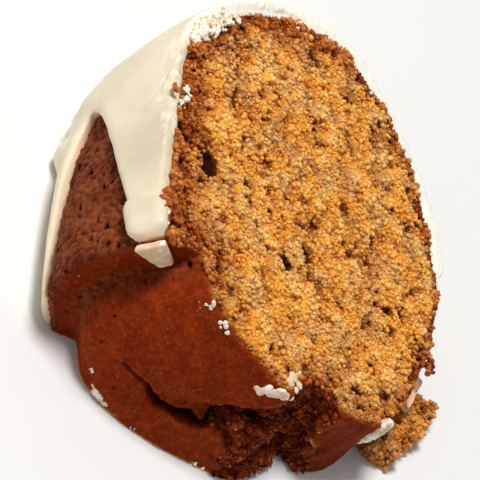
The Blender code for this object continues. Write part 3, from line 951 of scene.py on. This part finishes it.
def finished_bits(name, mesh, icing, roughness, thinness, *stands_for):
    """A bit of loose icing: its surface roughened, thin where it is low and broken where it is high."""
    points, normals = coordinates(mesh), vertex_normals(mesh)
    lumps = rough_noise(points, 1.3 * MM, seed=21)
    moved = points + normals * (roughness * MM * lumps)[:, None]
    set_coordinates(mesh, np.maximum(moved, LEAST_PLACE))
    set_numbers(mesh, "thin", thinness - 0.6 * lumps)
    set_numbers(mesh, "broken", 0.7 * smooth_step(0.0, 0.6, lumps - 1.5 * (thinness - 0.4)))
    # The loose icing carries no painted shade.
    set_numbers(mesh, "painted_icing_shade", np.zeros(len(points)))
    new_piece(name, mesh, icing_material(name, icing), "icing", *stands_for)


def make_loose_icing(icing):
    """The broken drip tip, the drop and the smears."""
    tip = even_copy("drip_tip", TIP_CELL, TIP_ROUNDING)
    points = coordinates(tip)
    middle = points.mean(axis=0)
    turn = np.array(Matrix.Rotation(TIP_TURN, 3, TIP_TURN_AXIS))
    set_coordinates(tip, (points - middle) @ turn.T + middle + np.array(TIP_SHIFT) * MM)
    finished_bits("drip_tip_icing", tip, icing, *TIP_FINISH, "drip_tip")
    for node, (flatness, blobs) in LOOSE_ICING.items():
        mesh = merged_blobs(node + "_bits", blobs, flatness)
        finished_bits(node + "_bits", mesh, icing, *SMEAR_FINISH, node)


def make_flecks(icing):
    """Small bits of icing on the baked crust and along the cut edges, joined in one piece."""
    crust = cake_tree()
    shell = bmesh.new()
    draws = np.random.default_rng(FLECK_SEED)
    for inward, below, half in FLECKS:
        for _ in range(BLOBS_A_FLECK):
            off_inward, off_below = half * draws.normal(0, (0.6, 0.35))
            place, facing = on_crust(crust, inward + off_inward, None, below + off_below)
            radius = half * MM * draws.uniform(0.35, 0.6)
            add_blob(shell, place, facing, radius, BLOB_FLATNESS, draws.uniform(0, 3))
    for spot in ICING_BITS:
        add_cluster(shell, *spot)
    mesh = remeshed(mesh_from(shell, "glaze_flecks"), FLECK_CELL, BITS_ROUNDING)
    finished_bits("glaze_flecks", mesh, icing, *FLECK_FINISH)


def add_cluster(shell, inward, height, below, spread, count, radius):
    """Small balls heaped round a ring measure in mm and degrees."""
    draws = np.random.default_rng(int(1000 * abs(inward) + 10 * height))
    middle = ring_place(inward * MM, height * MM, math.radians(below))
    for _ in range(count):
        off = draws.normal(0, 0.5 * spread * MM, 3)
        place = middle + Vector(off - 0.65 * (off @ UP_FACE) * UP_FACE)
        size = radius * MM * draws.uniform(0.7, 1.25)
        bmesh.ops.create_icosphere(shell, subdivisions=2, radius=size, matrix=Matrix.Translation(place))


def make_loose_crumbs(cake):
    """Crumbs that stand out of the cut's edges or stick to the icing, joined in one piece."""
    shell = bmesh.new()
    for spot in LOOSE_CRUMBS:
        add_cluster(shell, *spot)
    mesh = remeshed(mesh_from(shell, "loose_crumbs"), LUMP_CELL, CRUMBS_ROUNDING)
    points = coordinates(mesh)
    lumps = rough_noise(points, 0.9 * MM, seed=91, octaves=2)
    set_coordinates(mesh, points + vertex_normals(mesh) * (0.28 * MM * lumps)[:, None])
    set_numbers(mesh, "lit", 0.44 + 0.4 * lumps)
    set_numbers(mesh, "browned_and_shaded", np.full(len(points), 0.92))
    new_piece("loose_crumbs", mesh, grain_material(cake), "cake_crumb")


# The stage ------------------------------------------------


def direction(azimuth, elevation):
    """The way from the slice towards an azimuth, 0 in front of -Y, and an elevation."""
    flat = math.cos(elevation)
    return Vector((math.sin(azimuth) * flat, -math.cos(azimuth) * flat, math.sin(elevation)))


def soft_light(name, power, azimuth, elevation, distance, size, colour):
    lamp = bpy.data.lights.new(name, "AREA")
    lamp.shape = "DISK"
    lamp.size = size
    lamp.energy = power
    lamp.color = colour
    made = bpy.data.objects.new(name, lamp)
    away = direction(math.radians(azimuth), math.radians(elevation))
    made.location = away * distance
    made.rotation_euler = away.to_track_quat("Z", "Y").to_euler()
    bpy.context.scene.collection.objects.link(made)


def make_stage(stage):
    bpy.ops.mesh.primitive_plane_add(size=FLOOR_SIZE, location=(0, 0, -FLOOR_GAP))
    floor = bpy.context.object
    floor.name = "floor"
    bench = NodeBench("pale_floor")
    bench.give(tuple(stage.floor_colour), "Base Color")
    bench.give(0.9, "Roughness")
    floor.data.materials.append(bench.made)
    world = bpy.data.worlds.new("studio")
    world.use_nodes = True
    backdrop = world.node_tree.nodes["Background"]
    backdrop.inputs["Color"].default_value = (1, 1, 1, 1)
    backdrop.inputs["Strength"].default_value = stage.surround
    bpy.context.scene.world = world
    for name, power in (("key", stage.key_power), ("front", stage.front_power)):
        soft_light(name, power, *LIGHTS[name])
    eye = bpy.data.cameras.new("eye")
    eye.lens = stage.lens
    camera = bpy.data.objects.new("eye", eye)
    azimuth, elevation, roll = (math.radians(turn) for turn in (VIEW_AZIMUTH, VIEW_ELEVATION, VIEW_ROLL))
    turn = (
        Matrix.Rotation(azimuth, 4, "Z")
        @ Matrix.Rotation(math.pi / 2 - elevation, 4, "X")
        @ Matrix.Rotation(roll, 4, "Z")
    )
    place = VIEW_TARGET + direction(azimuth, elevation) * stage.distance
    camera.matrix_world = Matrix.Translation(place) @ turn
    bpy.context.scene.collection.objects.link(camera)
    bpy.context.scene.camera = camera
    bpy.context.scene.view_settings.view_transform = "Standard"


# The add-on -----------------------------------------------


def length(name, description, default):
    return bpy.props.FloatProperty(
        name=name, description=description, default=default, subtype="DISTANCE", unit="LENGTH", precision=5
    )


def tint(name, description, default):
    return bpy.props.FloatVectorProperty(
        name=name, description=description, default=default, size=3, subtype="COLOR", min=0, max=1
    )


def wattage(name, description, default):
    return bpy.props.FloatProperty(
        name=name, description=description, default=default, subtype="POWER", unit="POWER"
    )


def triangles(name, description, default):
    return bpy.props.IntProperty(name=name, description=description, default=default)


class CakeSettings(bpy.types.PropertyGroup):
    cell_size: length("Cell size", "Size of the faces that carry the crumb's relief", 0.3 * MM)
    grain_size: length("Grain size", "Distance from one crumb grain to the next", 1.22 * MM)
    clump_size: length("Clump size", "Distance from one clump of crumb to the next", 4.2 * MM)
    most_triangles: triangles("Most triangles", "Most triangles in a piece of the cake", 195000)
    crumb_colour: tint("Crumb colour", "Colour of the fresh crumb", (0.76, 0.295, 0.034))
    wall_colour: tint("Wall colour", "Colour of the crust on the outer wall", (0.155, 0.027, 0.0055))
    base_colour: tint("Base colour", "Colour of the crust on the risen base", (0.25, 0.027, 0.0028))


class IcingSettings(bpy.types.PropertyGroup):
    cell_size: length("Cell size", "Size of the faces that carry the icing's relief", 0.42 * MM)
    most_triangles: triangles("Most triangles", "Most triangles in the coat of icing", 150000)
    colour: tint("Colour", "Colour of the icing", (0.85, 0.745, 0.555))
    shade_colour: tint("Shade colour", "Colour of the icing's deeper patches", (0.79, 0.68, 0.485))
    thin_colour: tint("Thin colour", "Colour where the crust shows through", (0.80, 0.52, 0.32))


class StageSettings(bpy.types.PropertyGroup):
    lens: bpy.props.FloatProperty(
        name="Lens", description="Focal length in mm", default=251.64, subtype="DISTANCE_CAMERA"
    )
    distance: length("Distance", "From the camera to the middle of the slice", 0.65)
    floor_colour: tint("Floor colour", "Colour of the floor", (0.82, 0.82, 0.82))
    surround: bpy.props.FloatProperty(
        name="Surround", description="Strength of the light from all round", default=0.28
    )
    key_power: wattage("Key power", "Power of the main light", 7.4)
    front_power: wattage("Front power", "Power of the front light", 0.5)


class CAKE_OT_crumb(bpy.types.Operator):
    """Makes the cake with its crumb, crust and crack, and the loose crumbs"""

    bl_idname = "cake.crumb"
    bl_label = "Cake"

    def execute(self, context):
        make_cake(context.scene.cake_settings)
        make_loose_crumbs(context.scene.cake_settings)
        return {"FINISHED"}


class CAKE_OT_icing(bpy.types.Operator):
    """Makes the coat of icing with its drips"""

    bl_idname = "cake.icing"
    bl_label = "Icing"

    def execute(self, context):
        make_icing(context.scene.icing_settings)
        return {"FINISHED"}


class CAKE_OT_loose_icing(bpy.types.Operator):
    """Makes the broken drip tip, the drop and the smears"""

    bl_idname = "cake.loose_icing"
    bl_label = "Loose icing"

    def execute(self, context):
        make_loose_icing(context.scene.icing_settings)
        return {"FINISHED"}


class CAKE_OT_flecks(bpy.types.Operator):
    """Makes the flecks of icing on the baked crust and the crumbled icing along the cut"""

    bl_idname = "cake.flecks"
    bl_label = "Icing flecks"

    def execute(self, context):
        make_flecks(context.scene.icing_settings)
        return {"FINISHED"}


class CAKE_OT_stage(bpy.types.Operator):
    """Makes the floor, the lights and the camera"""

    bl_idname = "cake.stage"
    bl_label = "Stage"

    def execute(self, context):
        make_stage(context.scene.stage_settings)
        return {"FINISHED"}


OPERATORS = (CAKE_OT_crumb, CAKE_OT_icing, CAKE_OT_loose_icing, CAKE_OT_flecks, CAKE_OT_stage)
SETTINGS = {"cake_settings": CakeSettings, "icing_settings": IcingSettings, "stage_settings": StageSettings}


class CAKE_PT_panel(bpy.types.Panel):
    """Lists the pieces of the slice"""

    bl_idname = "CAKE_PT_panel"
    bl_label = "Bundt cake slice"
    bl_space_type = "VIEW_3D"
    bl_region_type = "UI"
    bl_category = "Cake"

    def draw(self, context):
        for name, group in SETTINGS.items():
            settings = getattr(context.scene, name)
            for key in group.__annotations__:
                self.layout.prop(settings, key)
        for operator in OPERATORS:
            self.layout.operator(operator.bl_idname)


def register():
    for made in (*SETTINGS.values(), *OPERATORS, CAKE_PT_panel):
        bpy.utils.register_class(made)
    for name, group in SETTINGS.items():
        setattr(bpy.types.Scene, name, bpy.props.PointerProperty(type=group))


def unregister():
    for name in SETTINGS:
        delattr(bpy.types.Scene, name)
    for made in reversed((*SETTINGS.values(), *OPERATORS, CAKE_PT_panel)):
        bpy.utils.unregister_class(made)


def main():
    register()
    bpy.ops.cake.crumb()
    bpy.ops.cake.icing()
    bpy.ops.cake.loose_icing()
    bpy.ops.cake.flecks()
    bpy.ops.cake.stage()


if __name__ == "__main__":
    main()
